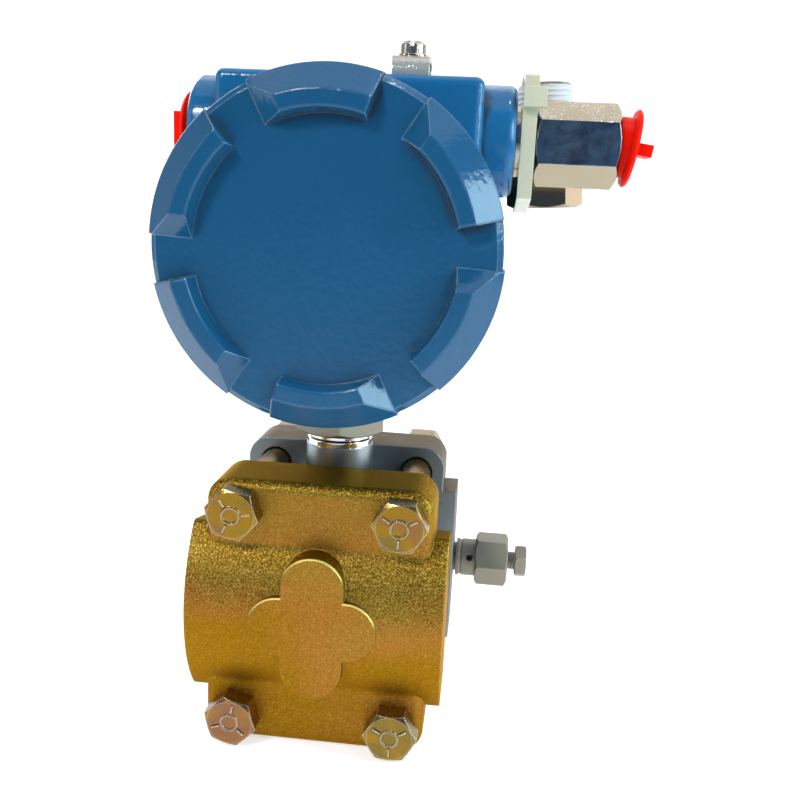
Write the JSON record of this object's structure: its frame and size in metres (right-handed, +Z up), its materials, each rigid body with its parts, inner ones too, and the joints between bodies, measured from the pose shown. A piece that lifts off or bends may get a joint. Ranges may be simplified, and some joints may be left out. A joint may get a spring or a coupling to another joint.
{
  "type": "pressure transmitter",
  "caption": "Industrial pressure transmitter: round two-compartment housing with screwed lugged covers and conduit hubs on a necked cell bolted between cast flanges.",
  "frame": {"origin": "on the neck's axis, in the plane of the flanges' lower edges that the part stands on", "axes": "+Z up along the neck, +X along the conduit hubs towards the adapter, -Y out of the front cover"},
  "size_m": [0.1667, 0.1134, 0.2357],
  "materials": {
    "blue_paint": "gloss",
    "gold_casting": "satin",
    "grey_casting": "satin",
    "cell_steel": "satin",
    "diaphragm_foil": "polished",
    "yellow_zinc": "satin",
    "nut_steel": "satin",
    "valve_steel": "polished",
    "nickel_plate": "polished",
    "bright_zinc": "satin",
    "standoff_brass": "satin",
    "seal_rubber": "matte",
    "gasket_polymer": "matte",
    "board_laminate": "satin",
    "terminal_moulding": "matte",
    "plug_plastic": "satin",
    "tie_nylon": "satin"
  },
  "bodies": {
    "cell": {"sensor_module": "cell_steel", "front_diaphragm": "diaphragm_foil", "rear_diaphragm": "diaphragm_foil", "front_gasket": "gasket_polymer", "rear_gasket": "gasket_polymer", "front_flange": "gold_casting", "rear_flange": "grey_casting", "flange_bolts": "yellow_zinc", "flange_nuts": "yellow_zinc", "lock_nut": "nut_steel", "vent_valve_body": "valve_steel"},
    "vent_packing": {"vent_stem_seal": "gasket_polymer"},
    "vent_stem": {"vent_stem": "valve_steel"},
    "housing": {"housing": "blue_paint", "amplifier_board": "board_laminate", "output_board": "board_laminate", "board_standoffs": "standoff_brass", "board_screws": "bright_zinc", "terminal_block": "terminal_moulding", "terminal_screws": "bright_zinc", "terminal_block_screws": "bright_zinc", "conduit_adapter": "nickel_plate", "spare_plug": "nickel_plate", "cable_tie": "tie_nylon", "earth_clamp": "bright_zinc", "earth_washer": "bright_zinc", "earth_screw": "bright_zinc"},
    "front_seal": {"front_cover_seal": "seal_rubber"},
    "front_cover": {"front_cover": "blue_paint"},
    "rear_seal": {"rear_cover_seal": "seal_rubber"},
    "rear_cover": {"rear_cover": "blue_paint"},
    "left_plug": {"left_plug": "plug_plastic"},
    "right_plug": {"right_plug": "plug_plastic"}
  },
  "joints": [
    {"name": "housing_swivel", "type": "hinge", "parent": "cell", "child": "housing", "pos_m": [0, 0, 0.1112], "axis": [0, 0, 1], "range_deg": [-90, 90]},
    {"name": "front_cover_turn", "type": "hinge", "parent": "housing", "child": "front_seal", "pos_m": [0, -0.024, 0.1685], "axis": [0, -1, 0], "range_deg": [0, 2880]},
    {"name": "front_cover_travel", "type": "slide", "parent": "front_seal", "child": "front_cover", "axis": [0, -1, 0], "range_m": [0, 0.0127]},
    {"name": "rear_cover_turn", "type": "hinge", "parent": "housing", "child": "rear_seal", "pos_m": [0, 0.038, 0.1685], "axis": [0, 1, 0], "range_deg": [0, 2880]},
    {"name": "rear_cover_travel", "type": "slide", "parent": "rear_seal", "child": "rear_cover", "axis": [0, 1, 0], "range_m": [0, 0.0127]},
    {"name": "vent_stem_turn", "type": "hinge", "parent": "cell", "child": "vent_packing", "pos_m": [0.043, 0.027, 0.04675], "axis": [1, 0, 0], "range_deg": [0, 720]},
    {"name": "vent_stem_travel", "type": "slide", "parent": "vent_packing", "child": "vent_stem", "axis": [1, 0, 0], "range_m": [0, 0.0018]},
    {"name": "left_plug_pull", "type": "slide", "parent": "housing", "child": "left_plug", "axis": [-1, 0, 0], "range_m": [0, 0.015]},
    {"name": "right_plug_pull", "type": "slide", "parent": "housing", "child": "right_plug", "axis": [0.9903, 0, -0.1392], "range_m": [0, 0.012]}
  ],
  "couplings": [
    {"joint": "front_cover_turn", "follows": "front_cover_travel", "rad_per_m": 3957.9},
    {"joint": "rear_cover_turn", "follows": "rear_cover_travel", "rad_per_m": 3957.9},
    {"joint": "vent_stem_turn", "follows": "vent_stem_travel", "rad_per_m": 6981.3}
  ]
}
